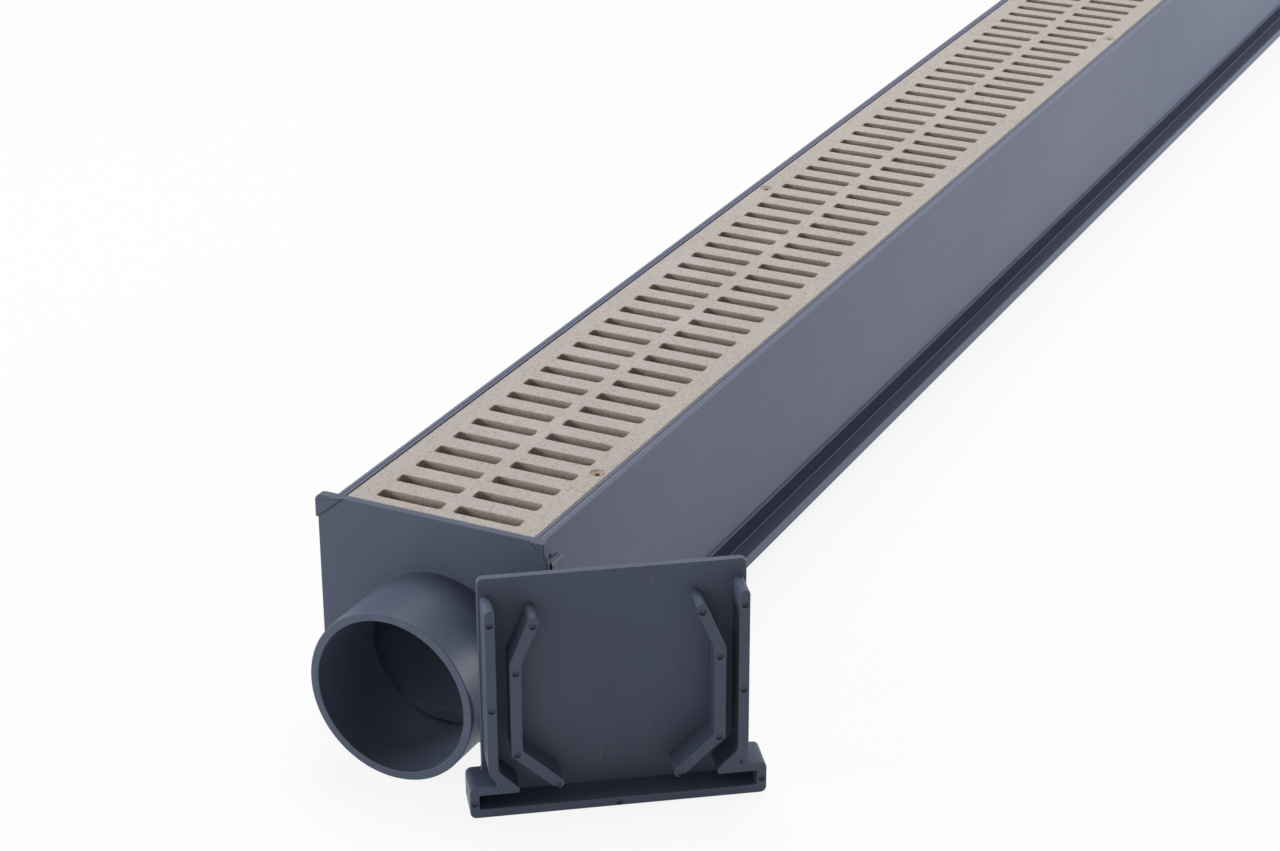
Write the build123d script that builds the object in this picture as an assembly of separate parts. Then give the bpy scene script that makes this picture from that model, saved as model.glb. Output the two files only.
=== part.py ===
from build123d import *
import os
from math import atan2, degrees, hypot

# Channel drain: an extruded plastic trough with a slotted grate laid in its rim, an outlet
# fitting pushed on the near end and a blank end cap, taken off, that stands in front.
# Millimetres. X runs across, Y along the trough away from the outlet, Z up from the floor
# that the fittings stand on. Y is zero at the near end of the trough.

# Trough, its section and length
trough_length = 1817.0
trough_top = 118.0
wall_out = 56.5
wall_in = 51.0
flange_half = 66.2
flange_thick = 6.9
neck_half = 48.0
neck_rise = 4.3
floor_half = 29.0
haunch_rise = 20.3
brace_z = 81.0
ledge_z = 105.0
ledge_in = 41.0
shelf_thick = 4.0
brace_thick = 4.0
rim_thick = 4.0
groove_width = 1.2
groove_depth = 0.8
groove_from_edge = 1.7
rim_chamfer = 0.7
flange_round = 0.9
knee_round = 3.0
haunch_round = 4.0

# Grate and its slots
grate_clear = 0.5
grate_end_clear = 0.3
grate_drop = 0.2
deck_thick = 6.5
slot_pitch = 18.7
slot_width = 8.0
slot_corner = 1.7
slot_in = 3.4
slot_out = 39.5
pocket_over = 0.6
grate_edge = 0.8
screw_hole_radius = 1.5
screw_head_radius = 4.1
screw_head_depth = 0.8
screw_hole_sides = 8
screw_head_sides = 16
screw_margin = 46.5
screw_first = 77.0
screw_second = 488.0
screw_third = 881.0
cut_over = 1.0

# Fittings that close an end: plate, foot and grip ribs
plate_thick = 4.0
foot_half = 71.0
foot_wall = 4.5
foot_round = 3.0
slot_clear = 0.3
outer_rib = 5.0
outer_rib_clear = 0.6
inner_rib = 5.1
inner_rib_clear = 0.4

# Outlet fitting; its right edge is trimmed close to the wall
outlet_left = 66.2
outlet_right = 61.5
outlet_corner = 3.5
outlet_grip_depth = 9.5
outlet_rib_top = 107.5
spigot_radius = 44.45
spigot_wall = 4.5
spigot_reach = 47.0
spigot_floor_gap = 0.05
spigot_lip = 0.8
rib_relief = 1.0
ear_start = 51.4
ear_slope = 0.84
ear_proud = 1.0
ear_out = 0.8

# Loose end cap and where it stands
cap_plate_half = 62.4
cap_corner = 4.0
cap_grip_depth = 16.0
cap_rib_top = 109.5
cap_aside = 55.25
cap_behind = 38.6
cap_turn = 216.0

# Heights that follow from the sizes above
trough_base = foot_wall + slot_clear
flange_top = trough_base + flange_thick
foot_top = flange_top + slot_clear + foot_wall
neck_z = flange_top + neck_rise
knee_z = neck_z + wall_out - neck_half
haunch_z = flange_top + haunch_rise
rebate_half = wall_out - rim_thick
grate_half = rebate_half - grate_clear
grate_top = trough_top - grate_drop
spigot_z = spigot_radius + spigot_floor_gap
bore_radius = spigot_radius - spigot_wall
spigot_end = plate_thick + spigot_reach
cap_x = spigot_radius + cap_aside
cap_y = cap_behind - spigot_end


def upright(face, front, back):
    """Prism of a face drawn in X and Z, from y = front to y = back."""
    return Pos(0, front, 0) * extrude(Plane.XZ * face, amount=front - back)


def both_sides(points):
    """Face of a half outline and its mirror image, joined along x = 0."""
    mirrored = [(-x, z) for x, z in reversed(points)]
    return make_face(Polyline(*points, *mirrored, close=True))


def round_corners(face, corners, radius):
    """Round the corners of a face that lie at the given points, left and right."""
    picked = [v for v in face.vertices() for x, z in corners
              if abs(abs(v.X) - x) < 0.01 and abs(v.Y - z) < 0.01]
    return fillet(picked, radius)


def brace_cell(side):
    """Hollow triangle behind the sloping brace that carries the ledge."""
    lean = (wall_in - ledge_in) / (ledge_z - brace_z)
    brace_x = wall_in + brace_thick * hypot(1, lean)
    top = ledge_z - shelf_thick
    low = brace_z + (brace_x - rebate_half) / lean
    corner = brace_x - (top - brace_z) * lean
    return make_face(Polyline((side * rebate_half, low), (side * rebate_half, top),
                              (side * corner, top), close=True))


def trough_section():
    """Section of the extrusion: base flange, undercut, walls, braced ledges and rim."""
    groove = wall_out - groove_from_edge
    outline = [
        (flange_half, trough_base),
        (flange_half, flange_top),
        (neck_half, flange_top),
        (neck_half, neck_z),
        (wall_out, knee_z),
        (wall_out, trough_top - rim_chamfer),
        (wall_out - rim_chamfer, trough_top),
        (groove, trough_top),
        (groove - groove_width / 2, trough_top - groove_depth),
        (groove - groove_width, trough_top),
        (rebate_half, trough_top),
        (rebate_half, ledge_z),
        (ledge_in, ledge_z),
        (wall_in, brace_z),
        (wall_in, haunch_z),
        (floor_half, flange_top),
    ]
    section = both_sides(outline)
    section = round_corners(section, [(flange_half, trough_base), (flange_half, flange_top)], flange_round)
    section = round_corners(section, [(wall_out, knee_z)], knee_round)
    section = round_corners(section, [(wall_in, haunch_z), (floor_half, flange_top)], haunch_round)
    return section - brace_cell(1) - brace_cell(-1)


def channel_body():
    return upright(trough_section(), 0, trough_length)


def slot_places():
    """Centres of the slots along the grate, the same margin left at both ends."""
    room = trough_length - 2 * grate_end_clear - 2 * slot_width
    count = int(room / slot_pitch) + 1
    first = (trough_length - (count - 1) * slot_pitch) / 2
    return [first + k * slot_pitch for k in range(count)]


def screw_hole(x, y):
    """Hole through the edge rail of the grate, with a shallow seat; both have flat sides to save facets."""
    hole = RegularPolygon(screw_hole_radius, screw_hole_sides)
    head = RegularPolygon(screw_head_radius, screw_head_sides)
    shaft = Pos(x, y, ledge_z - cut_over) * extrude(hole, amount=grate_top - ledge_z + 2 * cut_over)
    seat = Pos(x, y, grate_top - screw_head_depth) * extrude(head, amount=screw_head_depth + cut_over)
    return shaft + seat


def screw_places(slots):
    """Right and left in turn along the grate, each on the bar between slots nearest to its place."""
    bars = [(low + high) / 2 for low, high in zip(slots, slots[1:])]
    wanted = [(screw_margin, screw_first), (-screw_margin, screw_second), (screw_margin, screw_third),
              (-screw_margin, trough_length - screw_second), (screw_margin, trough_length - screw_first)]
    return [(x, min(bars, key=lambda bar: abs(bar - y))) for x, y in wanted]


def slot_outline():
    """Slot seen from above, with its corners cut at 45 degrees."""
    long, wide = (slot_out - slot_in) / 2, slot_width / 2
    near, low = long - slot_corner, wide - slot_corner
    return make_face(Polyline((long, low), (near, wide), (-near, wide), (-long, low),
                              (-long, -low), (-near, -wide), (near, -wide), (long, -low), close=True))


def recess(first, last):
    """Long hollow below one row of slots, from its first slot to its last."""
    wide = slot_out - slot_in + 2 * pocket_over
    long = last - first + slot_width + 2 * pocket_over
    face = Pos(0, (first + last) / 2, 0) * Rectangle(wide, long)
    return extrude(face, amount=grate_top - ledge_z - deck_thick)


def grate():
    """Flat grate: a deck with two rows of slots, stiffened below by side rails and a spine."""
    places = slot_places()
    length = trough_length - 2 * grate_end_clear
    slab = Box(2 * grate_half, length, grate_top - ledge_z)
    slab = Pos(0, trough_length / 2, (ledge_z + grate_top) / 2) * slab
    slab = chamfer(slab.edges().group_by(Axis.Z)[-1], grate_edge)
    slot = extrude(slot_outline(), amount=grate_top - ledge_z)
    hollow = recess(places[0], places[-1])
    middle = (slot_in + slot_out) / 2
    cuts = [Pos(side * middle, y, ledge_z) * slot for y in places for side in (-1, 1)]
    slab -= [Pos(side * middle, 0, ledge_z) * hollow for side in (-1, 1)]
    cuts += [screw_hole(x, y) for x, y in screw_places(places)]
    return slab - cuts


def beside(points, gap):
    """Open outline moved sideways by gap, to its left, with its bends mitred."""
    lines = []
    for (ax, az), (bx, bz) in zip(points, points[1:]):
        run = hypot(bx - ax, bz - az)
        shift = (-(bz - az) / run * gap, (bx - ax) / run * gap)
        lines.append(((ax + shift[0], az + shift[1]), (bx + shift[0], bz + shift[1])))
    bends = [crossing(a, b) for a, b in zip(lines, lines[1:])]
    return [lines[0][0], *bends, lines[-1][1]]


def crossing(first, second):
    """Point where two lines, each given by two points, cross."""
    (ax, az), (bx, bz) = first
    (cx, cz), (dx, dz) = second
    turn = (bx - ax) * (dz - cz) - (bz - az) * (dx - cx)
    along = ((cx - ax) * (dz - cz) - (cz - az) * (dx - cx)) / turn
    return (ax + along * (bx - ax), az + along * (bz - az))


def pulled_back(points, amount):
    """Outline with both its ends drawn in along their own legs."""
    def drawn(end, inner):
        run = hypot(inner[0] - end[0], inner[1] - end[1])
        part = amount / run
        return (end[0] + (inner[0] - end[0]) * part, end[1] + (inner[1] - end[1]) * part)
    return [drawn(points[0], points[1]), *points[1:-1], drawn(points[-1], points[-2])]


def rib_face(points, thick):
    """Rib seen end on: straight legs of one thickness with round ends and bends."""
    legs = []
    for (ax, az), (bx, bz) in zip(points, points[1:]):
        turn = degrees(atan2(bz - az, bx - ax))
        leg = SlotCenterToCenter(hypot(bx - ax, bz - az), thick, rotation=turn)
        legs.append(Pos((ax + bx) / 2, (az + bz) / 2) * leg)
    return Sketch() + legs


def mirrored(face):
    """The face and its mirror image about x = 0."""
    return face + mirror(face, Plane.YZ)


def outer_rib_face(top):
    """Ribs that grip the outside of the walls and tuck in under them."""
    wall = [(wall_out, top), (wall_out, knee_z), (neck_half, neck_z)]
    centre = beside(wall, outer_rib_clear + outer_rib / 2)
    return mirrored(rib_face(pulled_back(centre, outer_rib / 2), outer_rib))


def inner_rib_face():
    """Ribs that follow the inside of the trough along brace, wall and haunch."""
    lining = [(ledge_in, ledge_z), (wall_in, brace_z), (wall_in, haunch_z), (floor_half, flange_top)]
    centre = beside(lining, -(inner_rib_clear + inner_rib / 2))
    return mirrored(rib_face(pulled_back(centre, inner_rib / 2), inner_rib))


def foot_outline():
    return Pos(0, foot_top / 2) * RectangleRounded(2 * foot_half, foot_top, foot_round)


def foot_face():
    """Foot that wraps the base flange, open above between its two toes."""
    gap_half = flange_half + slot_clear
    gap_low = foot_wall
    gap_high = flange_top + slot_clear
    toe = foot_wall / 2
    toe_x = neck_half + outer_rib_clear + toe
    gap = Pos(0, (gap_low + gap_high) / 2) * Rectangle(2 * gap_half, gap_high - gap_low)
    mouth = Pos(0, gap_high + toe) * Rectangle(2 * toe_x, 2 * toe)
    toes = mirrored(Pos(toe_x, gap_high + toe) * Circle(toe))
    return foot_outline() - gap - mouth + toes


def plate_face(left, right):
    """Closing plate from its left to its right edge, standing on the outline of the foot."""
    corners = [(-left, 0), (-left, trough_top), (right, trough_top), (right, 0)]
    return make_face(Polyline(*corners, close=True)) + foot_outline()


def end_fitting(plate, depth, rib_top):
    """Plate with the foot and grip ribs moulded on it, ready to push on the near end."""
    grips = foot_face() + outer_rib_face(rib_top) + inner_rib_face()
    return upright(plate, -plate_thick, 0) + upright(grips, 0, depth)


def ear(side, edge):
    """Thickened top corner of the outlet plate, bounded by a sloping crease."""
    low = trough_top - (edge - ear_start) * ear_slope
    return make_face(Polyline((side * ear_start, trough_top), (side * edge, trough_top),
                              (side * edge, low), close=True))


def along_spigot(radius, front, back):
    """Round bar on the axis of the spigot, from y = front to y = back."""
    bar = Cylinder(radius, back - front, rotation=(90, 0, 0))
    return Pos(0, (front + back) / 2, spigot_z) * bar


def spigot():
    """Round pipe stub that stands out of the plate, its lip chamfered."""
    stub = along_spigot(spigot_radius, -spigot_end, 0)
    return chamfer(stub.edges().group_by(Axis.Y)[0], spigot_lip)


def bore():
    """Clear way through spigot and plate, and a wider one past the ribs behind them."""
    way = along_spigot(bore_radius, -spigot_end, 0)
    return way + along_spigot(bore_radius + rib_relief, 0, outlet_grip_depth)


def end_outlet():
    """Outlet fitting: the end fitting with thickened corners, a pipe spigot and its bore."""
    plate = plate_face(outlet_left, outlet_right)
    plate = round_corners(plate, [(outlet_left, trough_top)], outlet_corner)
    left_edge = outlet_left + ear_out
    left_ear = round_corners(ear(-1, left_edge), [(left_edge, trough_top)], outlet_corner)
    ears = left_ear + ear(1, outlet_right)
    body = end_fitting(plate, outlet_grip_depth, outlet_rib_top)
    body += upright(ears, -plate_thick - ear_proud, 0) + spigot()
    return body - bore()


def end_cap():
    """Blank end fitting, taken off and standing on its foot in front of the trough."""
    plate = plate_face(cap_plate_half, cap_plate_half)
    plate = round_corners(plate, [(cap_plate_half, trough_top)], cap_corner)
    body = end_fitting(plate, cap_grip_depth, cap_rib_top)
    return Pos(cap_x, cap_y, 0) * Rot(0, 0, cap_turn) * body


nodes = {
    "channel_body": channel_body(),
    "grate": grate(),
    "end_outlet": end_outlet(),
    "end_cap": end_cap(),
}

os.makedirs("parts", exist_ok=True)
for name, solid in nodes.items():
    export_step(solid, f"parts/{name}.step")
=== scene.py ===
"""Channel drain: a slotted grate in a braced plastic trough, with its two end fittings.

The outlet fitting closes the near end. The blank end cap is taken off and stands in front of it.
Shapes are worked out in millimetres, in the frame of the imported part, and stored in metres.
"""

from __future__ import annotations

import logging
import math
from dataclasses import dataclass, field
from enum import Enum

import bpy
import numpy as np
from mathutils import Matrix, Vector
from mathutils.geometry import tessellate_polygon

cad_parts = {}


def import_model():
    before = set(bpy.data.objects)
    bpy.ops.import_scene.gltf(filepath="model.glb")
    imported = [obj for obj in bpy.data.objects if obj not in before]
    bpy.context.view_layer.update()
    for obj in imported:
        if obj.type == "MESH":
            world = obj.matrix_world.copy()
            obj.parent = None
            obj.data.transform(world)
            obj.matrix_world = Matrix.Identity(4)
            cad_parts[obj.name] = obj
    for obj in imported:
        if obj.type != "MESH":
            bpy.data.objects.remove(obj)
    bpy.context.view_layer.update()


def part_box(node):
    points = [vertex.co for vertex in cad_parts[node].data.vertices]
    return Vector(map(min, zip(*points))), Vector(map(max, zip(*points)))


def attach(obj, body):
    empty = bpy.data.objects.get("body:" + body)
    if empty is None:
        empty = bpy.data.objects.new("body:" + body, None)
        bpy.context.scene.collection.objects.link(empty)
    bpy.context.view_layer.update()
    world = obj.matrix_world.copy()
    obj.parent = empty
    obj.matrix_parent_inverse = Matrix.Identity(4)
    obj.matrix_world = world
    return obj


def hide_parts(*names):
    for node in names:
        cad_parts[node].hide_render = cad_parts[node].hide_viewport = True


LOG = logging.getLogger("channel_drain")
MM = 0.001
WELD = 1e-3
SMOOTH_BELOW = math.radians(32)

Point2 = tuple[float, float]
Colour = tuple[float, float, float]

EXTRUDED_SLATE: Colour = (0.083, 0.098, 0.15)
MOULDED_SLATE: Colour = (0.073, 0.089, 0.132)
SAND: Colour = (0.43, 0.385, 0.36)
# In millimetres: depth of the rim's painted highlight, and how far a cutter stands above.
RIM_HIGHLIGHT_DEPTH = 1.4
ABOVE = 0.2
QUADRANTS = np.array([(1, -1), (1, 1), (-1, 1), (-1, -1)], float)


# Outlines and shells


def rounded(corners: np.ndarray, radii: np.ndarray, steps: int = 4) -> np.ndarray:
    """Closed outline with an arc at each corner.

    The arc touches both legs at radius / tan(half the corner's angle) from the corner, and its
    centre lies on the bisector at radius / sin(half the angle).

    Args:
        corners: Corner points, counter-clockwise, shape (n, 2).
        radii: Radius of each corner's arc, shape (n,).
        steps: Number of chords in each arc.

    Returns:
        Outline points, shape (n * (steps + 1), 2).
    """
    back = np.roll(corners, 1, axis=0) - corners
    ahead = np.roll(corners, -1, axis=0) - corners
    back /= np.linalg.norm(back, axis=1, keepdims=True)
    ahead /= np.linalg.norm(ahead, axis=1, keepdims=True)
    half = 0.5 * np.arccos(np.clip((back * ahead).sum(1), -1, 1))
    bisector = back + ahead
    bisector /= np.linalg.norm(bisector, axis=1, keepdims=True)
    centre = corners + bisector * (radii / np.sin(half))[:, None]
    reach = (radii / np.tan(half))[:, None]
    start = corners + back * reach - centre
    end = corners + ahead * reach - centre
    first = np.arctan2(start[:, 1], start[:, 0])
    sweep = (np.arctan2(end[:, 1], end[:, 0]) - first + np.pi) % (2 * np.pi) - np.pi
    angle = first[:, None] + sweep[:, None] * np.linspace(0, 1, steps + 1)
    arc = np.stack([np.cos(angle), np.sin(angle)], -1) * radii[:, None, None]
    return (centre[:, None] + arc).reshape(-1, 2)


def corner_outline(corners: list[tuple[float, float, float]], steps: int = 4) -> np.ndarray:
    """Rounded outline from rows of x, z and corner radius."""
    table = np.array(corners, float)
    return rounded(table[:, :2], table[:, 2], steps)


def mirrored(half: list[tuple[float, float, float]]) -> list[tuple[float, float, float]]:
    """A half outline on the +x side followed by its mirror image."""
    return half + [(-x, z, radius) for x, z, radius in reversed(half)]


def circle(radius: float, centre: Point2, segments: int) -> np.ndarray:
    """Counter-clockwise circle, shape (segments, 2)."""
    angle = np.arange(segments) * 2 * np.pi / segments
    return np.array(centre) + radius * np.stack([np.cos(angle), np.sin(angle)], -1)


def grown(outline: np.ndarray, distance: float) -> np.ndarray:
    """Outline moved outwards by a distance.

    Each point moves along the mean normal of its two edges, lengthened by 1 / (1 + cosine of
    the turn) so that both edges move by the whole distance.
    """
    edge = np.roll(outline, -1, axis=0) - outline
    normal = np.stack([edge[:, 1], -edge[:, 0]], -1)
    normal /= np.linalg.norm(normal, axis=1, keepdims=True)
    before = np.roll(normal, 1, axis=0)
    mitre = (normal + before) / (1 + (normal * before).sum(1, keepdims=True))
    return outline + distance * mitre


def crossing_at(leg: np.ndarray, height: float) -> Point2:
    """Where the line through two points in x and z reaches a height."""
    (ax, az), (bx, bz) = leg
    return (float(ax + (bx - ax) * (height - az) / (bz - az)), height)


@dataclass
class Shell:
    """Closed surface in millimetres."""

    points: np.ndarray
    faces: list[tuple[int, ...]]

    def placed(self, matrix: np.ndarray) -> Shell:
        """The shell moved by a 4 x 4 matrix."""
        moved = self.points @ matrix[:3, :3].T + matrix[:3, 3]
        return Shell(moved, self.faces)

    def with_shells(self, others: list[Shell]) -> Shell:
        """This shell and others as one list of points and faces."""
        points, faces = [self.points], list(self.faces)
        for other in others:
            first = sum(len(block) for block in points)
            points.append(other.points)
            faces += [tuple(first + k for k in face) for face in other.faces]
        return Shell(np.concatenate(points), faces)

    def volume(self) -> float:
        """Signed volume: the sum over fan triangles of the corner's triple product over six."""
        fans = [
            (face[0], face[k], face[k + 1])
            for face in self.faces
            for k in range(1, len(face) - 1)
        ]
        a, b, c = (self.points[index] for index in np.array(fans).T)
        return float((a * np.cross(b, c)).sum() / 6)

    def facing_out(self) -> Shell:
        """The shell with its faces turned outwards."""
        if self.volume() >= 0:
            return self
        return Shell(self.points, [tuple(reversed(face)) for face in self.faces])

    def welded(self) -> Shell:
        """The shell with points closer than the weld distance joined and empty faces dropped."""
        keys = np.round(self.points / WELD).astype(np.int64)
        _, first, same = np.unique(keys, axis=0, return_index=True, return_inverse=True)
        same = same.reshape(-1)
        faces = []
        for face in self.faces:
            ring = [int(same[k]) for k in face]
            ring = [k for k, before in zip(ring, ring[-1:] + ring[:-1]) if k != before]
            if len(set(ring)) >= 3:
                faces.append(tuple(ring))
        return Shell(self.points[first], faces)

    def mesh(self, name: str, unit: float = MM) -> bpy.types.Mesh:
        """A Blender mesh of the shell, in metres unless another unit is given."""
        mesh = bpy.data.meshes.new(name)
        mesh.from_pydata((self.points * unit).tolist(), [], self.faces)
        mesh.update()
        return mesh


def grid_quads(rows: int, count: int, first: int = 0) -> list[tuple[int, ...]]:
    """Quads between consecutive closed rings of the same number of points."""
    k = np.arange(count)
    base = first + np.arange(rows - 1)[:, None] * count
    a = base + k
    b = base + (k + 1) % count
    return [tuple(q) for q in np.stack([a, b, b + count, a + count], -1).reshape(-1, 4).tolist()]


def lofted(rings: np.ndarray) -> Shell:
    """Closed shell through rings of points, with a flat face on the first and the last.

    Args:
        rings: Points, shape (rows, count, 3).

    Returns:
        The shell, with its faces outwards.
    """
    rows, count, _ = rings.shape
    faces = grid_quads(rows, count)
    faces += [tuple(range(count))[::-1], tuple(range((rows - 1) * count, rows * count))]
    return Shell(rings.reshape(-1, 3), faces).facing_out()


def quarter(chords: int) -> list[Point2]:
    """Rows of 1 - sin t and 1 - cos t, with t going from 0 to 90 degrees."""
    turn = np.linspace(0, np.pi / 2, chords + 1)
    return [(1 - math.sin(t), 1 - math.cos(t)) for t in turn]


def edge_steps(low: float, high: float, foot: float, lip: float, chords: int = 3) -> np.ndarray:
    """How far an upright outline grows at each height, for a filleted foot and a rounded lip.

    At the foot the growth is radius * (1 - sin t) at height radius * (1 - cos t), and at the
    lip it is -radius * (1 - cos t) at radius * (1 - sin t) below the end, t being 0 to 90 degrees.
    A negative foot rounds that end as a lip too, and a zero foot leaves it square.

    Args:
        low: Height of the foot.
        high: Height of the lip; it may be below low, and the steps then run downwards.
        foot: Fillet radius at the foot, negative for a rounded edge.
        lip: Radius of the rounded edge at the other end.
        chords: Number of chords in each quarter circle.

    Returns:
        Rows of growth and height.
    """
    way = math.copysign(1.0, high - low)
    rows = [(0.0, low)]
    if foot != 0:
        rows = [(foot * a, low + way * abs(foot) * b) for a, b in quarter(chords)]
    rows += [(-lip * b, high - way * lip * a) for a, b in quarter(chords)]
    return np.array(rows)


def prism(outline: np.ndarray, steps: np.ndarray, holes: list[np.ndarray] | None = None) -> Shell:
    """Outline in x and z carried along y, growing and shrinking on the way.

    Args:
        outline: Counter-clockwise outline, shape (n, 2). A clockwise one shrinks as steps grow.
        steps: Rows of growth and y.
        holes: Counter-clockwise outlines of openings; they shrink where the outline grows.

    Returns:
        The closed shell.
    """
    loops = [(outline, 1.0)] + [(hole, -1.0) for hole in holes or []]
    points, faces, ends = [], [], [[], []]
    first = 0
    for loop, sense in loops:
        rings = np.stack([upright(grown(loop, sense * growth), y) for growth, y in steps])
        quads = grid_quads(len(steps), len(loop), first)
        faces += quads if sense > 0 else [tuple(reversed(quad)) for quad in quads]
        ends[0].append((rings[0], first))
        ends[1].append((rings[-1], first + (len(steps) - 1) * len(loop)))
        points.append(rings.reshape(-1, 3))
        first += rings.shape[0] * rings.shape[1]
    faces += end_faces(ends[0], True) + end_faces(ends[1], False)
    return Shell(np.concatenate(points), faces).facing_out()


def upright(outline: np.ndarray, y: float) -> np.ndarray:
    """Outline points in x and z as points in space at one y."""
    return np.stack([outline[:, 0], np.full(len(outline), y), outline[:, 1]], -1)


def level(outline: np.ndarray, z: float) -> np.ndarray:
    """Outline points in x and y as points in space at one z."""
    return np.column_stack([outline, np.full(len(outline), z)])


def end_faces(loops: list[tuple[np.ndarray, int]], turned: bool) -> list[tuple[int, ...]]:
    """Faces that close one end of a prism, inside its outline and outside its holes."""
    index = np.concatenate([first + np.arange(len(ring)) for ring, first in loops])
    if len(loops) == 1:
        faces = [tuple(int(k) for k in index)]
    else:
        flat = [[Vector((x, z, 0.0)) for x, _, z in ring.tolist()] for ring, _ in loops]
        faces = [tuple(int(index[k]) for k in face) for face in tessellate_polygon(flat)]
        faces = wound_alike(faces, loops)
    return [tuple(reversed(face)) for face in faces] if turned else faces


def wound_alike(
    faces: list[tuple[int, ...]], loops: list[tuple[np.ndarray, int]]
) -> list[tuple[int, ...]]:
    """Triangles all wound counter-clockwise in x and z."""
    where = {first + k: ring[k] for ring, first in loops for k in range(len(ring))}
    kept = []
    for a, b, c in faces:
        (ax, _, az), (bx, _, bz), (cx, _, cz) = where[a], where[b], where[c]
        area = (bx - ax) * (cz - az) - (bz - az) * (cx - ax)
        kept.append((a, b, c) if area > 0 else (c, b, a))
    return kept


def turned_solid(profile: list[Point2], centre: Point2, segments: int) -> Shell:
    """Solid of revolution about an axis along y.

    Args:
        profile: Rows of radius and y, from one flat end to the other.
        centre: The axis, in x and z.
        segments: Number of points round the axis.

    Returns:
        The closed shell.
    """
    return lofted(np.stack([upright(circle(radius, centre, segments), y) for radius, y in profile]))


def cylinder_up(profile: list[Point2], centre: Point2, segments: int) -> Shell:
    """Solid of revolution about an upright axis, from rows of radius and z."""
    return lofted(np.stack([level(circle(radius, centre, segments), z) for radius, z in profile]))


def put(name: str, data: bpy.types.ID) -> bpy.types.Object:
    """A new object in the scene that holds a mesh, a lamp or a camera."""
    made = bpy.data.objects.new(name, data)
    bpy.context.scene.collection.objects.link(made)
    return made


def cut(shell: Shell, tools: list[Shell]) -> Shell:
    """A shell with other closed shells cut away from it.

    The cut is worked out in millimetres, where the finest steps are far above the solver's grain.
    """
    base = put("base", shell.mesh("base", 1.0))
    pieces = [base]
    for tool in tools:
        piece = put("tool", tool.mesh("tool", 1.0))
        step = base.modifiers.new("cut", "BOOLEAN")
        step.operation = "DIFFERENCE"
        step.solver = "EXACT"
        step.object = piece
        pieces.append(piece)
    bpy.context.view_layer.update()
    graph = bpy.context.evaluated_depsgraph_get()
    result = bpy.data.meshes.new_from_object(base.evaluated_get(graph))
    points = np.empty(len(result.vertices) * 3, np.float32)
    result.vertices.foreach_get("co", points)
    faces = [tuple(face.vertices) for face in result.polygons]
    bpy.data.meshes.remove(result)
    for piece in pieces:
        data = piece.data
        bpy.data.objects.remove(piece)
        bpy.data.meshes.remove(data)
    return Shell(points.reshape(-1, 3).astype(float), faces)


# Finishes


class Nodes:
    """Builds a material's node tree with short calls."""

    def __init__(self, name: str) -> None:
        """Starts a material that holds a Principled shader and an output."""
        self.material = bpy.data.materials.new(name)
        self.material.use_nodes = True
        self.tree = self.material.node_tree
        self.shader = self.tree.nodes["Principled BSDF"]
        self.place = self.tree.nodes.new("ShaderNodeTexCoord").outputs["Object"]

    def add(self, kind: str, **inputs: object) -> bpy.types.Node:
        """A node of a kind, its inputs set to values or linked to sockets.

        Args:
            kind: The node's type name without its "ShaderNode" start.
            **inputs: Values or sockets by input name, with "_" for a space.

        Returns:
            The node.
        """
        node = self.tree.nodes.new("ShaderNode" + kind)
        for name, value in inputs.items():
            self.feed(node.inputs[name.replace("_", " ")], value)
        return node

    def feed(self, socket: bpy.types.NodeSocket, value: object) -> None:
        """Links a socket to an input, or sets the input to a value."""
        if isinstance(value, bpy.types.NodeSocket):
            self.tree.links.new(value, socket)
        else:
            socket.default_value = value

    def noise(self, scale: tuple[float, float, float], detail: float) -> bpy.types.NodeSocket:
        """Noise on Object coordinates with so many features per metre along x, y and z."""
        mapping = self.add("Mapping", Vector=self.place, Scale=scale)
        node = self.add("TexNoise", Vector=mapping.outputs["Vector"], Scale=1.0, Detail=detail)
        return node.outputs["Fac"]

    def grains(self, per_metre: float) -> bpy.types.NodeSocket:
        """One random value in each small cell."""
        node = self.add("TexVoronoi", Vector=self.place, Scale=per_metre)
        split = self.add("SeparateColor", Color=node.outputs["Color"])
        return split.outputs["Red"]

    def spread(
        self, value: bpy.types.NodeSocket, low: Point2, high: Point2
    ) -> bpy.types.NodeSocket:
        """A value mapped from one range to another, and kept inside it.

        Args:
            value: The socket to map.
            low: A value and what it becomes.
            high: Another value and what it becomes.

        Returns:
            The mapped value.
        """
        node = self.add("MapRange", Value=value, From_Min=low[0], From_Max=high[0])
        node.inputs["To Min"].default_value = low[1]
        node.inputs["To Max"].default_value = high[1]
        return node.outputs["Result"]

    def tint(
        self, base: object, other: Colour, share: bpy.types.NodeSocket
    ) -> bpy.types.NodeSocket:
        """A colour mixed with another by a share from 0 to 1."""
        node = self.tree.nodes.new("ShaderNodeMix")
        node.data_type = "RGBA"
        self.feed(node.inputs["Factor"], share)
        self.feed(node.inputs[6], base if isinstance(base, bpy.types.NodeSocket) else (*base, 1.0))
        self.feed(node.inputs[7], (*other, 1.0))
        return node.outputs[2]

    def bump(
        self, height: bpy.types.NodeSocket, depth: float, onto: bpy.types.NodeSocket | None = None
    ) -> bpy.types.NodeSocket:
        """A normal bent by a height whose full range is so many metres deep."""
        node = self.add("Bump", Height=height, Distance=depth, Strength=1.0)
        if onto is not None:
            self.feed(node.inputs["Normal"], onto)
        return node.outputs["Normal"]


class Shaping(Enum):
    """How a plastic was shaped, which tells how its surface is marked."""

    EXTRUDED = "drawn out along y"
    MOULDED = "filled into a mould"


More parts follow.
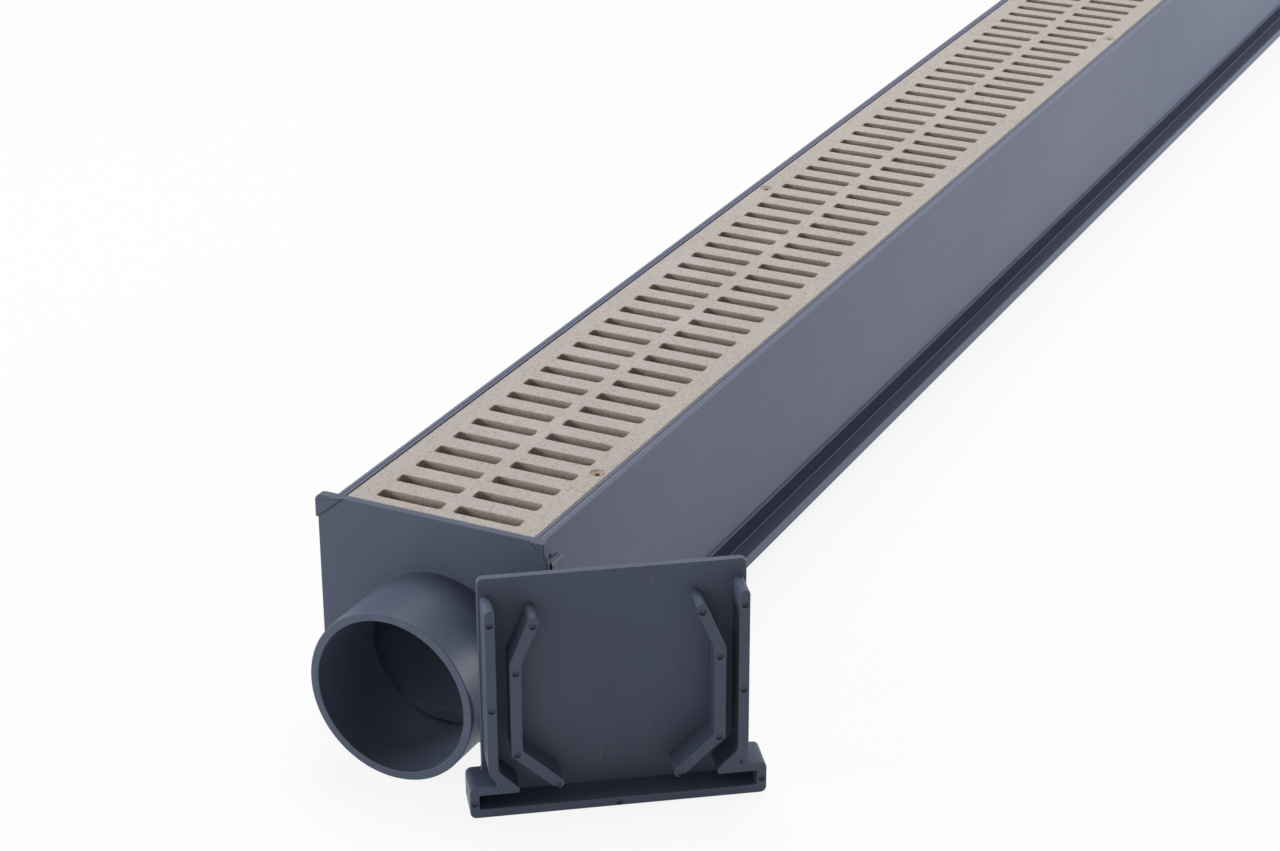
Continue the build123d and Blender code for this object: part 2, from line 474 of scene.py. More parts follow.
@dataclass(frozen=True)
class SlatePlastic:
    """Dark slate plastic, streaked along y where it was extruded, with a painted highlight on the
    rim.

    The painted highlight starts at a height in metres. No piece reaches the one that is set here.
    """

    name: str
    colour: Colour
    shaping: Shaping
    highlight_above: float = 1.0
    specular: float = 0.2
    # Painted highlight: the paler colour of the rim's top.
    rim_highlight: Colour = (0.15, 0.17, 0.24)
    roughness: float = 0.42
    chalk: Colour = (0.34, 0.35, 0.39)
    tones: Point2 = (0.84, 1.22)

    def material(self) -> bpy.types.Material:
        """The finish as a material."""
        nodes = Nodes(self.name)
        darker, lighter = (tuple(tone * c for c in self.colour) for tone in self.tones)
        drawn = self.shaping is Shaping.EXTRUDED
        along = (420.0, 1.1, 420.0) if drawn else (38.0, 38.0, 14.0)
        streaks = nodes.noise(along, 4.0)
        clouds = nodes.noise((9.0, 5.0, 9.0), 2.0)
        colour = nodes.tint(darker, lighter, nodes.spread(streaks, (0.3, 0.25), (0.7, 0.75)))
        colour = nodes.tint(colour, self.colour, nodes.spread(clouds, (0.3, 0.2), (0.7, 0.9)))
        scuffs = nodes.noise((420.0, 420.0, 70.0), 6.0)
        marks = nodes.spread(scuffs, (0.67, 0.0), (0.77, 0.13))
        colour = nodes.tint(colour, self.chalk, marks)
        # Painted highlight: above that height the rim is tinted paler.
        height = nodes.add("SeparateXYZ", Vector=nodes.place).outputs["Z"]
        rim = nodes.spread(height, (self.highlight_above - 0.2 * MM, 0.0), (self.highlight_above, 0.6))
        colour = nodes.tint(colour, self.rim_highlight, rim)
        nodes.feed(nodes.shader.inputs["Base Color"], colour)
        rough = nodes.spread(clouds, (0.25, self.roughness - 0.05), (0.75, self.roughness + 0.07))
        nodes.feed(nodes.shader.inputs["Roughness"], rough)
        nodes.shader.inputs["Specular IOR Level"].default_value = self.specular
        skin = nodes.bump(nodes.noise((900.0, 900.0, 900.0), 2.0), 0.00003)
        lines = (700.0, 0.6, 700.0) if drawn else (120.0, 120.0, 120.0)
        normal = nodes.bump(nodes.noise(lines, 3.0), 0.00006, skin)
        nodes.feed(nodes.shader.inputs["Normal"], normal)
        return nodes.material


@dataclass(frozen=True)
class SandGrain:
    """Sand-coloured moulding with a fine speckle, as on a grate filled with mineral grains."""

    name: str
    colour: Colour
    top: float
    pale: Colour = (0.66, 0.62, 0.59)
    brown: Colour = (0.23, 0.185, 0.155)
    # Painted shade: the browner, darker colour of the slots' walls and the underside.
    shade: Colour = (0.37, 0.295, 0.25)
    specular: float = 0.3

    def material(self) -> bpy.types.Material:
        """The finish as a material, with browner painted shade on the slots' walls and the
        underside.
        """
        nodes = Nodes(self.name)
        height = nodes.add("SeparateXYZ", Vector=nodes.place).outputs["Z"]
        # Painted shade: below the deck's top the colour turns to the shade colour.
        below = nodes.spread(height, (self.top - 0.7 * MM, 1.0), (self.top - 0.2 * MM, 0.0))
        fine = nodes.noise((1300.0, 1300.0, 1300.0), 2.0)
        coarse = nodes.noise((420.0, 420.0, 420.0), 3.0)
        clouds = nodes.noise((24.0, 16.0, 24.0), 3.0)
        specks = nodes.grains(1100.0)
        colour = nodes.tint(self.colour, self.shade, below)
        colour = nodes.tint(colour, self.pale, nodes.spread(fine, (0.48, 0.0), (0.74, 0.55)))
        colour = nodes.tint(colour, self.brown, nodes.spread(coarse, (0.57, 0.0), (0.82, 0.32)))
        colour = nodes.tint(colour, self.brown, nodes.spread(specks, (0.8, 0.0), (1.0, 0.6)))
        colour = nodes.tint(colour, self.pale, nodes.spread(clouds, (0.45, 0.0), (0.8, 0.18)))
        nodes.feed(nodes.shader.inputs["Base Color"], colour)
        nodes.feed(nodes.shader.inputs["Roughness"], nodes.spread(coarse, (0.3, 0.72), (0.7, 0.88)))
        nodes.shader.inputs["Specular IOR Level"].default_value = self.specular
        normal = nodes.bump(fine, 0.00012)
        normal = nodes.bump(coarse, 0.0001, normal)
        nodes.feed(nodes.shader.inputs["Normal"], normal)
        return nodes.material


# Pieces


@dataclass(frozen=True)
class Size:
    """Lowest and highest corner of a CAD node, in millimetres."""

    low: np.ndarray
    high: np.ndarray

    @classmethod
    def of(cls, node: str) -> Size:
        """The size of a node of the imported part."""
        low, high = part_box(node)
        return cls(np.array(low) / MM, np.array(high) / MM)


def show(
    mesh: bpy.types.Mesh, name: str, material: bpy.types.Material, node: str
) -> bpy.types.Object:
    """Makes a finished mesh a piece of the object.

    Args:
        mesh: The mesh, in the frame of the part.
        name: The piece's name.
        material: Its finish.
        node: The CAD node that it stands for.

    Returns:
        The piece.
    """
    mesh.materials.clear()
    mesh.materials.append(material)
    mesh.shade_smooth()
    mesh.set_sharp_from_angle(angle=SMOOTH_BELOW)
    piece = put(name, mesh)
    even = piece.modifiers.new("even_shading", "WEIGHTED_NORMAL")
    even.keep_sharp = True
    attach(piece, "root")
    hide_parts(node)
    LOG.info("%s: %d faces", name, len(mesh.polygons))
    return piece


@dataclass
class Trough:
    """The extruded trough: base flange, undercut walls, braced ledges and grooved rim."""

    size: Size
    wall_out: float = 56.5
    wall_in: float = 51.0
    flange_thick: float = 6.9
    neck_half: float = 48.0
    neck_rise: float = 4.3
    floor_half: float = 29.0
    haunch_rise: float = 20.3
    brace_z: float = 81.0
    ledge_z: float = 105.0
    ledge_in: float = 41.0
    rim_in: float = 52.5
    bead: float = 0.5
    bead_tall: float = 1.9
    bead_slope: float = 0.4
    groove_at: float = 54.2
    groove_half: float = 0.6
    groove_deep: float = 0.7
    brace_thick: float = 4.0
    shelf_thick: float = 4.0
    cell_round: float = 1.0
    cell_tip: float = 0.4
    cell_heel: float = 0.6
    flange_round: float = 0.9
    ridge_half: float = 0.6
    ridge_tall: float = 0.35
    crease: float = 0.3
    neck_edge: float = 0.8
    neck_round: float = 1.2
    knee_round: float = 2.5
    rim_round: float = 1.0
    rim_edge: float = 0.4
    groove_root: float = 0.2
    ledge_root: float = 0.5
    ledge_round: float = 1.2
    brace_round: float = 2.0
    haunch_round: float = 4.0
    saw_edge: float = 0.25

    def section(self) -> np.ndarray:
        """The outline of the extrusion's section."""
        base, top = self.size.low[2], self.top
        flange = self.size.high[0]
        deck = base + self.flange_thick
        neck = deck + self.neck_rise
        knee = neck + self.wall_out - self.neck_half
        lip = self.wall_out + self.bead
        half = [
            (flange, base, self.flange_round),
            (flange, deck, self.flange_round),
            (self.wall_out + self.ridge_half, deck, self.crease),
            (self.wall_out, deck + self.ridge_tall, self.crease),
            (self.wall_out - self.ridge_half, deck, self.crease),
            (self.neck_half, deck, self.neck_edge),
            (self.neck_half, neck, self.neck_round),
            (self.wall_out, knee, self.knee_round),
            (self.wall_out, top - self.bead_tall - self.bead_slope, self.crease),
            (lip, top - self.bead_tall, self.crease),
            (lip, top, self.rim_round),
            (self.groove_at + self.groove_half, top, self.rim_edge),
            (self.groove_at, top - self.groove_deep, self.groove_root),
            (self.groove_at - self.groove_half, top, self.crease),
            (self.rim_in, top, self.rim_edge),
            (self.rim_in, self.ledge_z, self.ledge_root),
            (self.ledge_in, self.ledge_z, self.ledge_round),
            (self.wall_in, self.brace_z, self.brace_round),
            (self.wall_in, deck + self.haunch_rise, self.haunch_round),
            (self.floor_half, deck, self.haunch_round),
        ]
        return corner_outline(mirrored(half))

    @property
    def top(self) -> float:
        """Height of the rim."""
        return float(self.size.high[2])

    def brace_cell(self, side: int) -> np.ndarray:
        """Hollow triangle between the brace, the ledge and the wall."""
        lean = (self.wall_in - self.ledge_in) / (self.ledge_z - self.brace_z)
        brace_x = self.wall_in + self.brace_thick * math.hypot(1, lean)
        high = self.ledge_z - self.shelf_thick
        low = self.brace_z + (brace_x - self.rim_in) / lean
        near = brace_x - (high - self.brace_z) * lean
        rows = [
            (self.rim_in, low, self.cell_tip),
            (self.rim_in, high, self.cell_round),
            (near, high, self.cell_heel),
        ]
        if side < 0:
            rows = [(-x, z, radius) for x, z, radius in reversed(rows)]
        return corner_outline(rows)

    def mesh(self) -> bpy.types.Mesh:
        """The section carried along the trough, with its saw-cut ends a little rounded."""
        near, far = self.size.low[1], self.size.high[1]
        steps = edge_steps(near, far, -self.saw_edge, self.saw_edge, 2)
        cells = [self.brace_cell(1), self.brace_cell(-1)]
        return prism(self.section(), steps, cells).mesh("trough")


@dataclass
class Grate:
    """The slotted grate: two rows of slots, with rails and a spine below the deck."""

    size: Size
    pitch: float = 18.7
    slots: int = 97
    slot_wide: float = 8.0
    slot_in: float = 3.4
    slot_out: float = 39.5
    slot_round: float = 1.9
    slot_edge: float = 0.35
    deck: float = 6.5
    recess_over: float = 0.6
    field_half: float = 49.0
    recess_round: float = 1.0
    edge_round: float = 1.0
    under_edge: float = 0.4
    corner_steps: int = 4
    screw_x: float = 46.5
    screw_bars: tuple[tuple[int, int], ...] = ((4, 1), (26, -1), (47, 1), (71, -1), (93, 1))
    seat_radius: float = 4.1
    seat_deep: float = 0.8
    seat_dish: float = 0.03
    seat_draft: float = 0.1
    seat_flare: float = 0.5
    hole_radius: float = 1.5
    hole_edge: float = 0.3
    dimple: Point2 = (49.6, 107.3)
    dimple_wide: float = 0.7
    dimple_floor: float = 0.25
    dimple_deep: float = 0.8

    def ring(self, half_x: float, half_y: float, radius: float) -> np.ndarray:
        """Rounded rectangle about the origin, from arcs at its four corners."""
        return rounded(QUADRANTS * (half_x, half_y), np.full(4, radius), self.corner_steps)

    def frame_ring(self, centre_x: float, half_x: float, half_y: float) -> np.ndarray:
        """Points on a slot's cell, one for each point of the slot's ring.

        A point of an arc moves from the arc's centre along (cos t, sin t) / max(|cos t|, |sin t|),
        scaled to the corner of the cell, so that neighbouring cells share their points.
        """
        start = np.array([-90, 0, 90, 180])[:, None]
        angle = np.radians(start + np.linspace(0, 90, self.corner_steps + 1))
        way = np.stack([np.cos(angle), np.sin(angle)], -1)
        way /= np.abs(way).max(-1, keepdims=True)
        signs = QUADRANTS[:, None, :]
        centre = signs * (half_x - self.slot_round, half_y - self.slot_round)
        inner = np.where(signs[..., 0] > 0, self.field_half - centre_x, centre_x)
        corner = np.stack([signs[..., 0] * inner, signs[..., 1] * self.pitch / 2], -1)
        reach = np.abs(corner - centre)
        return (centre + way * reach).reshape(-1, 2)

    def cell(self) -> Shell:
        """One slot on the +x side with its share of the grate.

        Rings run from the cell's edge on top, round the slot's lip, down its wall and out to the
        cell's edge below.
        """
        low, high = self.size.low[2], self.size.high[2]
        middle = (self.slot_in + self.slot_out) / 2
        half_x, half_y = (self.slot_out - self.slot_in) / 2, self.slot_wide / 2
        lip = self.slot_edge
        slot = self.ring(half_x, half_y, self.slot_round)
        outer = self.frame_ring(middle, half_x, half_y)
        rows = [(outer, high)]
        rows += [(grown(slot, lip * a), high - lip * b) for a, b in quarter(3)]
        rows += [(slot, low), (outer, low)]
        rings = [level(ring + (middle, 0), z) for ring, z in rows]
        return Shell(np.concatenate(rings), grid_quads(len(rings), len(slot)))

    def field(self) -> Shell:
        """All the cells of both rows."""
        cell = self.cell()
        centre = (self.size.low[1] + self.size.high[1]) / 2
        places = centre + (np.arange(self.slots) - (self.slots - 1) / 2) * self.pitch
        flip = cell.points * (-1, 1, 1)
        pair = np.stack([cell.points, flip])
        points = pair[None] + np.stack([0 * places, places, 0 * places], -1)[:, None, None, :]
        quads = np.array(cell.faces)
        both = np.stack([quads, quads[:, ::-1]])
        step = len(cell.points)
        first = (np.arange(self.slots)[:, None] * 2 + np.arange(2)) * step
        faces = both[None] + first[:, :, None, None]
        return Shell(points.reshape(-1, 3), [tuple(q) for q in faces.reshape(-1, 4).tolist()])

    def border(self, field_points: np.ndarray) -> Shell:
        """The strip round the field, from the deck over the rounded edge to the underside.

        Each ring is the field's outline with x and y stretched to that ring's half sizes.
        """
        low, high = self.size.low[2], self.size.high[2]
        centre = (self.size.low[1] + self.size.high[1]) / 2
        half = np.array([self.field_half, self.slots * self.pitch / 2])
        flat = field_points[np.abs(field_points[:, 2] - high) < WELD][:, :2] - (0, centre)
        loop = flat[(np.abs(np.abs(flat) - half) < 2 * WELD).any(1)]
        loop = np.unique(np.round(loop / WELD).astype(np.int64), axis=0) * WELD
        turn = np.arctan2(loop[:, 1] / half[1], loop[:, 0] / half[0])
        loop = loop[np.argsort(turn)]
        full = np.array([self.size.high[0], (self.size.high[1] - self.size.low[1]) / 2])
        edge = self.edge_round
        rows = [(half, high)] + [(full - edge * a, high - edge * b) for a, b in quarter(4)]
        rows += [(full, low + self.under_edge), (full - self.under_edge, low), (half, low)]
        rings = [level(loop * (reach / half) + (0, centre), z) for reach, z in reversed(rows)]
        return Shell(np.concatenate(rings), grid_quads(len(rings), len(loop)))

    def recess(self, side: int) -> Shell:
        """Long hollow below one row of slots, as a box that cuts it."""
        low, high = self.size.low[2] - 1, self.size.high[2] - self.deck
        centre = (self.size.low[1] + self.size.high[1]) / 2
        half_x = (self.slot_out - self.slot_in) / 2 + self.recess_over
        half_y = (self.slots - 1) / 2 * self.pitch + self.slot_wide / 2 + self.recess_over
        place = np.array([side * (self.slot_in + self.slot_out) / 2, centre])
        ring = self.ring(half_x, half_y, self.recess_round) + place
        return lofted(np.stack([level(ring, z) for z in (low, high)]))

    def screw_seat(self, place: Point2) -> Shell:
        """Screw hole with its shallow seat, as a turned shape that cuts them."""
        low, high = self.size.low[2], self.size.high[2]
        seat, edge = high - self.seat_deep, self.hole_edge
        profile = [
            (self.hole_radius, low - 2),
            (self.hole_radius, seat - edge),
            (self.hole_radius + edge, seat),
            (self.seat_radius - edge, seat + self.seat_dish),
            (self.seat_radius, seat + edge),
            (self.seat_radius + self.seat_draft, high - ABOVE),
            (self.seat_radius + self.seat_flare, high + ABOVE),
        ]
        return cylinder_up(profile, place, 40)

    def cutters(self) -> list[Shell]:
        """Recesses, screw holes and the small dimple near the first slots."""
        high = self.size.high[2]
        first = (self.size.low[1] + self.size.high[1] - (self.slots - 1) * self.pitch) / 2
        places = [
            (side * self.screw_x, first + (bar - 0.5) * self.pitch)
            for bar, side in self.screw_bars
        ]
        cone = [(self.dimple_floor, high - self.dimple_deep), (self.dimple_wide, high + ABOVE)]
        dimple = cylinder_up(cone, self.dimple, 16)
        return [self.recess(1), self.recess(-1), dimple, *map(self.screw_seat, places)]

    def mesh(self) -> bpy.types.Mesh:
        """The grate as one closed mesh."""
        field_shell = self.field()
        shell = field_shell.with_shells([self.border(field_shell.points)]).welded()
        return cut(shell.facing_out(), self.cutters()).mesh("grate")


@dataclass
class EndFitting:
    """What both end fittings share: a plate with a foot and four grip ribs on its back."""

    top: float
    plate_thick: float = 4.0
    plate_root: float = 1.0
    notch_round: float = 0.2
    foot_half: float = 71.0
    foot_wall: float = 4.5
    foot_round: float = 3.0
    flange_gap: float = 7.5
    gap_half: float = 66.5
    gap_round: float = 0.8
    toe_tip: float = 47.3
    toe_rise: float = 2.5
    toe_round: float = 1.2
    wall_out: float = 56.5
    knee_z: float = 24.5
    neck_half: float = 48.0
    neck_z: float = 16.0
    outer_gap: float = 0.6
    outer_rib: float = 5.0
    lining: tuple[Point2, ...] = ((41.0, 105.0), (51.0, 81.0), (51.0, 32.0), (29.0, 11.7))
    inner_gap: float = 0.4
    inner_rib: float = 4.8
    bend_round: float = 1.5
    inset: float = 0.02
    rib_fillet: float = 0.7
    rib_lip: float = 0.3
    bend_out: float = 11.0
    bend_in: float = 5.0
    rib_end: float = 2.45
    pin_radius: float = 1.75
    pin_deep: float = 1.1
    rib_marks: tuple[Point2, ...] = ((59.6, 102.0), (59.6, 57.0), (39.6, 99.8), (48.05, 75.8))
    low_marks: tuple[Point2, ...] = ((48.05, 32.4), (29.4, 14.6), (68.7, 7.8))
    foot_mark: Point2 = (0.0, 2.0)

    @property
    def foot_top(self) -> float:
        """Height of the foot."""
        return 2 * self.foot_wall + self.flange_gap

    def rib(self, wall: list[Point2], gap: float, thick: float) -> np.ndarray:
        """Outline of a bent rib with round ends that runs beside a wall.

        Args:
            wall: The wall's face, as a run of points.
            gap: Distance from the wall to the rib, to the left of the run; it is negative where
                the rib lies to the right.
            thick: Thickness of the rib.

        Returns:
            The outline, clockwise for a negative gap.
        """
        far = gap + math.copysign(thick, gap)
        corners = np.concatenate([self.beside(wall, gap), self.beside(wall, far)[::-1]])
        radii = np.full(len(corners), self.bend_round)
        radii[[0, len(wall) - 1, len(wall), -1]] = thick * 0.495
        return rounded(corners, radii, 6)

    def beside(self, run: list[Point2], distance: float) -> np.ndarray:
        """A run of points moved to its left, its bends mitred.

        Each point moves along the sum of its two legs' normals divided by 1 + their product.
        """
        line = np.array(run, float)
        leg = np.diff(line, axis=0)
        leg /= np.linalg.norm(leg, axis=1, keepdims=True)
        normal = np.stack([-leg[:, 1], leg[:, 0]], -1)
        before = np.concatenate([normal[:1], normal])
        after = np.concatenate([normal, normal[-1:]])
        return line + distance * (before + after) / (1 + (before * after).sum(1, keepdims=True))

    def both(self, outline: np.ndarray) -> list[np.ndarray]:
        """An outline and its mirror image."""
        return [outline, (outline * (-1, 1))[::-1]]

    def inner_ribs(self) -> list[np.ndarray]:
        """Outlines of the ribs that follow the inside of the trough.

        Known fault: they run clockwise, so the fillet draws them in and the lip swells them.
        """
        return self.both(self.rib(list(self.lining), -self.inner_gap, self.inner_rib))

    def foot(self, rib_top: float) -> np.ndarray:
        """Outline of the foot, open above between its two toes, with the outer ribs on it."""
        low, high = self.foot_wall, self.foot_wall + self.flange_gap
        near = self.wall_out + self.outer_gap
        wall = [(self.wall_out, rib_top), (self.wall_out, self.knee_z)]
        wall += [(self.neck_half, self.neck_z)]
        inner = self.beside(wall, self.outer_gap)
        outer = self.beside(wall, self.outer_gap + self.outer_rib)
        half = [
            (self.foot_half, 0.0, self.foot_round),
            (self.foot_half, self.foot_top, self.foot_round),
            (*crossing_at(outer[1:], self.foot_top), self.gap_round),
            (*outer[1], self.bend_out),
            (near + self.outer_rib, rib_top, self.rib_end),
            (near, rib_top, self.rib_end),
            (*inner[1], self.bend_in),
            (self.toe_tip, high + self.toe_rise, self.toe_round),
            (self.toe_tip, high, self.toe_round),
            (self.gap_half, high, self.gap_round),
            (self.gap_half, low, self.gap_round),
        ]
        return corner_outline(mirrored(half), 8)

    def plate(
        self, left: float, right: float, corner: Point2, notch: Point2 | None = None
    ) -> np.ndarray:
        """Outline of the plate, standing on the foot's outline.

        Args:
            left: Distance of the left edge from the middle.
            right: Distance of the right edge.
            corner: Radius of the left and the right top corner.
            notch: Where the right edge is trimmed: its distance there, and the height it starts at.

        Returns:
            The outline, counter-clockwise.
        """
        sharp = self.notch_round
        trimmed = [] if notch is None else [(right, notch[1], sharp), (*notch, sharp)]
        rows = [
            (self.foot_half, 0.0, self.foot_round),
            (self.foot_half, self.foot_top, self.foot_round),
            (right, self.foot_top, self.plate_root),
            *trimmed,
            (notch[0] if notch else right, self.top, corner[1]),
            (-left, self.top, corner[0]),
            (-left, self.foot_top, self.plate_root),
            (-self.foot_half, self.foot_top, self.foot_round),
            (-self.foot_half, 0.0, self.foot_round),
        ]
        return corner_outline(rows, 6)

    def grips(self, depth: float, rib_top: float) -> list[Shell]:
        """Foot with the outer ribs, then the two inner ribs, standing on the plate's back."""
        foot = grown(self.foot(rib_top), -self.inset)
        shells = [prism(foot, edge_steps(-1.0, depth, 0.0, self.rib_lip))]
        steps = edge_steps(-0.1, depth, self.rib_fillet, self.rib_lip)
        return shells + [prism(outline, steps) for outline in self.inner_ribs()]

    def pins(self, depth: float) -> list[Shell]:
        """Ejector pin marks, as round tools that press them into the ends of ribs and foot."""
        marks = self.rib_marks + self.low_marks
        places = [(side * x, z) for x, z in marks for side in (1, -1)] + [self.foot_mark]
        profile = [(self.pin_radius, depth - self.pin_deep), (self.pin_radius, depth + 1.0)]
        return [turned_solid(profile, place, 24) for place in places]


@dataclass
class EndCap(EndFitting):
    """The blank end cap, taken off and standing on its foot in front of the trough."""

    half: float = 63.4
    corner: float = 2.8
    face_edge: float = 0.5
    back_edge: float = 0.4
    depth: float = 16.0
    rib_top: float = 109.5
    spot: Point2 = (99.7, -12.4)
    turn: float = 216.0

    def place(self) -> np.ndarray:
        """The cap's place in the frame of the part."""
        turn = Matrix.Rotation(math.radians(self.turn), 4, "Z")
        return np.array(Matrix.Translation((*self.spot, 0.0)) @ turn)

    def mesh(self) -> bpy.types.Mesh:
        """Plate, foot and ribs as one moulding, in its place."""
        outline = self.plate(self.half, self.half, (self.corner, self.corner))
        plate = prism(outline, edge_steps(-self.plate_thick, 0.0, -self.face_edge, self.back_edge))
        pins = self.pins(self.depth)
        extras = [cut(shell, pins) for shell in self.grips(self.depth, self.rib_top)]
        return plate.with_shells(extras).placed(self.place()).mesh("end_cap")


@dataclass
class Outlet(EndFitting):
    """The outlet fitting: the end fitting with thick corners, a spigot and its bore."""

    left: float = 66.2
    right: float = 61.0
    corner: float = 3.5
    trimmed_corner: float = 0.6
    face_edge: float = 0.4
    back_edge: float = 0.3
    depth: float = 9.5
    rib_top: float = 107.5
    spigot_radius: float = 44.45
    spigot_wall: float = 4.5
    spigot_reach: float = 47.0
    floor_gap: float = 0.05
    root: float = 0.3
    lip: float = 0.7
    mouth: float = 0.5
    mouth_run: float = 1.2
    segments: int = 128
    ear_start: float = 51.4
    ear_slope: float = 0.84
    ear_proud: float = 1.0
    ear_out: float = 0.8
    ear_edge: float = 0.45
    ear_rounds: Point2 = (0.3, 0.5)
    rib_relief: float = 1.0
    trimmed: float = 59.8
    notch_z: float = 108.6

    @property
    def axis(self) -> Point2:
        """Centre of the spigot, in x and z."""
        return (0.0, self.spigot_radius + self.floor_gap)

    @property
    def end(self) -> float:
        """Where the spigot ends, along y."""
        return -self.plate_thick - self.spigot_reach

    def spigot(self) -> Shell:
        """The pipe stub with its bore: a profile of radius and y turned about the axis.

        The profile runs from the rounded lip along the outside to a small fillet at the plate,
        through the plate, and back along the bore.
        """
        out, end, plate = self.spigot_radius, self.end, -self.plate_thick
        bore, arc = out - self.spigot_wall, quarter(4)
        profile = [(out - self.lip * a, end + self.lip * b) for a, b in arc]
        profile += [(out + self.root * b, plate - self.root * a) for a, b in arc]
        profile += [(out, plate + 0.5), (out, -self.inset)]
        profile += [(bore, -self.inset), (bore, end + self.mouth_run)]
        profile += [(bore + self.mouth * b, end + self.mouth * a) for a, b in arc]
        rings = [upright(circle(radius, self.axis, self.segments), y) for radius, y in profile]
        rings = np.stack([*rings, rings[0]])
        rings[..., 2] = np.maximum(rings[..., 2], self.inset)
        faces = grid_quads(len(rings), self.segments)
        return Shell(rings.reshape(-1, 3), faces).welded().facing_out()

    def relief(self) -> Shell:
        """The round clear way past the ribs and the foot."""
        wide = self.spigot_radius - self.spigot_wall + self.rib_relief
        return turned_solid([(wide, -2.0), (wide, self.depth + 2)], self.axis, self.segments)

    def ear(self, side: int) -> Shell:
        """Thick top corner of the plate, ended by a sloping crease."""
        edge = self.left + self.ear_out if side < 0 else self.trimmed
        low = self.top - (edge - self.ear_start) * self.ear_slope
        rows = [
            (side * self.ear_start, self.top, self.ear_rounds[0]),
            (side * edge, low, self.ear_rounds[1]),
            (side * edge, self.top, self.corner if side < 0 else self.trimmed_corner),
        ]
        outline = grown(corner_outline(rows if side > 0 else rows[::-1], 5), -self.inset)
        steps = edge_steps(-0.5, -self.plate_thick - self.ear_proud, 0.0, self.ear_edge)
        return prism(outline, steps)

    def mesh(self) -> bpy.types.Mesh:
        """Plate, foot, ribs, corners and spigot as one moulding.

        Known fault: the relief's cut leaves nothing of the two inner ribs but a face doubled
        inside the plate, as their outlines run clockwise.
        """
        corners = (self.corner, self.trimmed_corner)
        outline = self.plate(self.left, self.right, corners, (self.trimmed, self.notch_z))
        hole = circle(self.spigot_radius - self.spigot_wall / 2, self.axis, self.segments // 2)
        steps = edge_steps(0.0, -self.plate_thick, -self.back_edge, self.face_edge)
        plate = prism(outline, steps, [hole])
        relief = [self.relief()]
        extras = [cut(shell, relief) for shell in self.grips(self.depth, self.rib_top)]
        extras += [self.ear(1), self.ear(-1), self.spigot()]
        return plate.with_shells(extras).mesh("end_outlet")


# Studio


@dataclass(frozen=True)
class View:
    """The camera of the photograph, solved from the slots, the outlet and the cap."""

    place: tuple[float, float, float] = (0.64987, -1.08696, 0.74349)
    right: tuple[float, float, float] = (0.89575, 0.44455, -0.00377)
    back: tuple[float, float, float] = (0.4056, -0.81374, 0.41632)
    lens: float = 82.6

    def set_up(self) -> None:
        """Makes the scene's camera."""
        data = bpy.data.cameras.new("camera")
        data.lens = self.lens
        data.sensor_width = 36.0
        data.sensor_fit = "HORIZONTAL"
        data.clip_start = 0.05
        data.clip_end = 50.0
        camera = put("camera", data)
        right, back = Vector(self.right), Vector(self.back)
        turn = Matrix((right, back.cross(right), back)).transposed()
        camera.matrix_world = Matrix.Translation(self.place) @ turn.to_4x4()
        bpy.context.scene.camera = camera


@dataclass(frozen=True)
class Softbox:
    """A square area lamp that looks at a point."""

    name: str
    place: tuple[float, float, float]
    target: tuple[float, float, float]
    side: float
    power: float

    def set_up(self) -> None:
        """Makes the lamp."""
        data = bpy.data.lights.new(self.name, "AREA")
        data.shape = "SQUARE"
        data.size = self.side
        data.energy = self.power
        lamp = put(self.name, data)
        way = Vector(self.target) - Vector(self.place)
        look = way.to_track_quat("-Z", "Y").to_matrix().to_4x4()
        lamp.matrix_world = Matrix.Translation(self.place) @ look


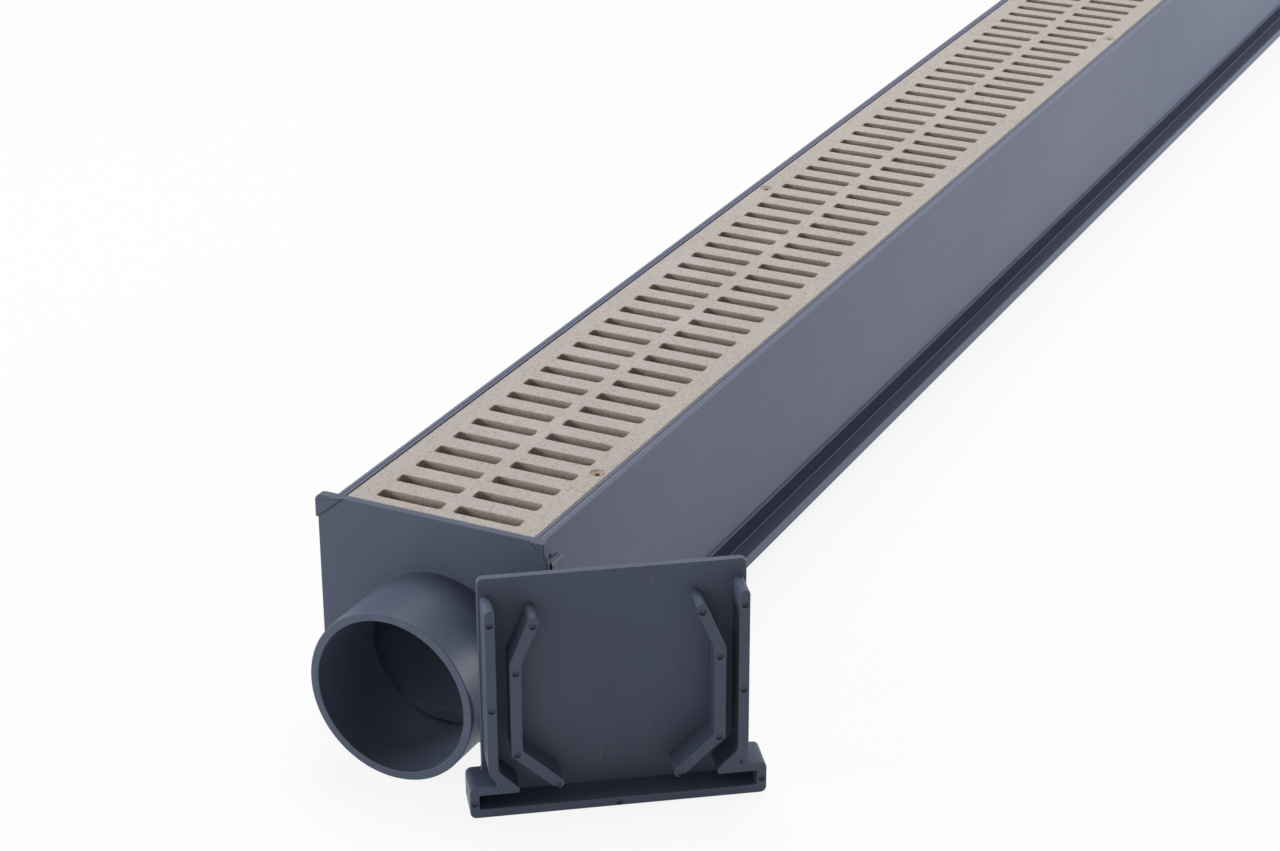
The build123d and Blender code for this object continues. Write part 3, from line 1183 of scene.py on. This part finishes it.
@dataclass
class Studio:
    """Pale floor, white surroundings and soft lamps."""

    room_light: float = 0.19
    floor_half: float = 6.0
    floor_tone: float = 0.86
    lamps: list[Softbox] = field(
        default_factory=lambda: [
            Softbox("overhead", (-0.45, 0.9, 2.25), (0.0, 0.3, 0.0), 1.4, 41.0),
            Softbox("left", (-1.8, -1.5, 0.7), (0.0, -0.05, 0.06), 0.8, 35.0),
            Softbox("right", (1.7, 1.7, 0.33), (0.05, 1.1, 0.06), 0.9, 31.0),
            Softbox("front", (0.5, -1.6, 0.35), (0.1, -0.03, 0.06), 0.9, 3.9),
        ]
    )

    def seen_directly(self, tree: bpy.types.NodeTree) -> bpy.types.NodeSocket:
        """1 for camera, glossy and transmission rays, else 0."""
        path = tree.nodes.new("ShaderNodeLightPath")
        socket = path.outputs["Is Camera Ray"]
        for name in ("Is Glossy Ray", "Is Transmission Ray"):
            add = tree.nodes.new("ShaderNodeMath")
            add.operation = "MAXIMUM"
            tree.links.new(socket, add.inputs[0])
            tree.links.new(path.outputs[name], add.inputs[1])
            socket = add.outputs[0]
        return socket

    def surroundings(self) -> None:
        """White where it is seen, and a plain even light on the object."""
        world = bpy.data.worlds.new("surroundings")
        world.use_nodes = True
        tree = world.node_tree
        shade = tree.nodes["Background"]
        shade.inputs["Color"].default_value = (1.0, 1.0, 1.0, 1.0)
        strength = tree.nodes.new("ShaderNodeMapRange")
        strength.inputs["To Min"].default_value = self.room_light
        strength.inputs["To Max"].default_value = 1.0
        tree.links.new(self.seen_directly(tree), strength.inputs["Value"])
        tree.links.new(strength.outputs["Result"], shade.inputs["Strength"])
        bpy.context.scene.world = world

    def floor(self) -> None:
        """A pale floor that shows white and keeps the object's shadow."""
        mesh = bpy.data.meshes.new("floor")
        mesh.from_pydata(level(QUADRANTS * self.floor_half, 0.0).tolist(), [], [(0, 1, 2, 3)])
        nodes = Nodes("pale_floor")
        nodes.shader.inputs["Base Color"].default_value = (*[self.floor_tone] * 3, 1.0)
        nodes.shader.inputs["Roughness"].default_value = 0.9
        glow = nodes.add("Emission", Color=(1.0, 1.0, 1.0, 1.0), Strength=1.0)
        mix = nodes.add("MixShader")
        share = nodes.spread(self.seen_directly(nodes.tree), (0.0, 0.0), (1.0, 0.88))
        nodes.feed(mix.inputs[0], share)
        nodes.feed(mix.inputs[1], nodes.shader.outputs["BSDF"])
        nodes.feed(mix.inputs[2], glow.outputs["Emission"])
        nodes.feed(nodes.tree.nodes["Material Output"].inputs["Surface"], mix.outputs["Shader"])
        mesh.materials.append(nodes.material)
        put("floor", mesh)

    def set_up(self) -> None:
        """Makes the surroundings, the floor and the lamps."""
        self.surroundings()
        self.floor()
        for lamp in self.lamps:
            lamp.set_up()


def main() -> None:
    """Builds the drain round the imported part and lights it."""
    logging.basicConfig(level=logging.INFO, format="%(message)s")
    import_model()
    bpy.context.scene.view_settings.view_transform = "Standard"
    trough = Size.of("channel_body")
    # Height where the rim's painted highlight starts.
    rim = (float(trough.high[2]) - RIM_HIGHLIGHT_DEPTH) * MM
    extruded = SlatePlastic("extruded_slate", EXTRUDED_SLATE, Shaping.EXTRUDED, rim).material()
    moulded = SlatePlastic("moulded_slate", MOULDED_SLATE, Shaping.MOULDED).material()
    grate = Size.of("grate")
    sand = SandGrain("sand_grain", SAND, float(grate.high[2]) * MM).material()
    top = float(Size.of("end_cap").high[2])
    show(Trough(trough).mesh(), "trough", extruded, "channel_body")
    show(Grate(grate).mesh(), "slotted_grate", sand, "grate")
    show(Outlet(top).mesh(), "outlet_fitting", moulded, "end_outlet")
    show(EndCap(top).mesh(), "loose_end_cap", moulded, "end_cap")
    Studio().set_up()
    View().set_up()


if __name__ == "__main__":
    main()
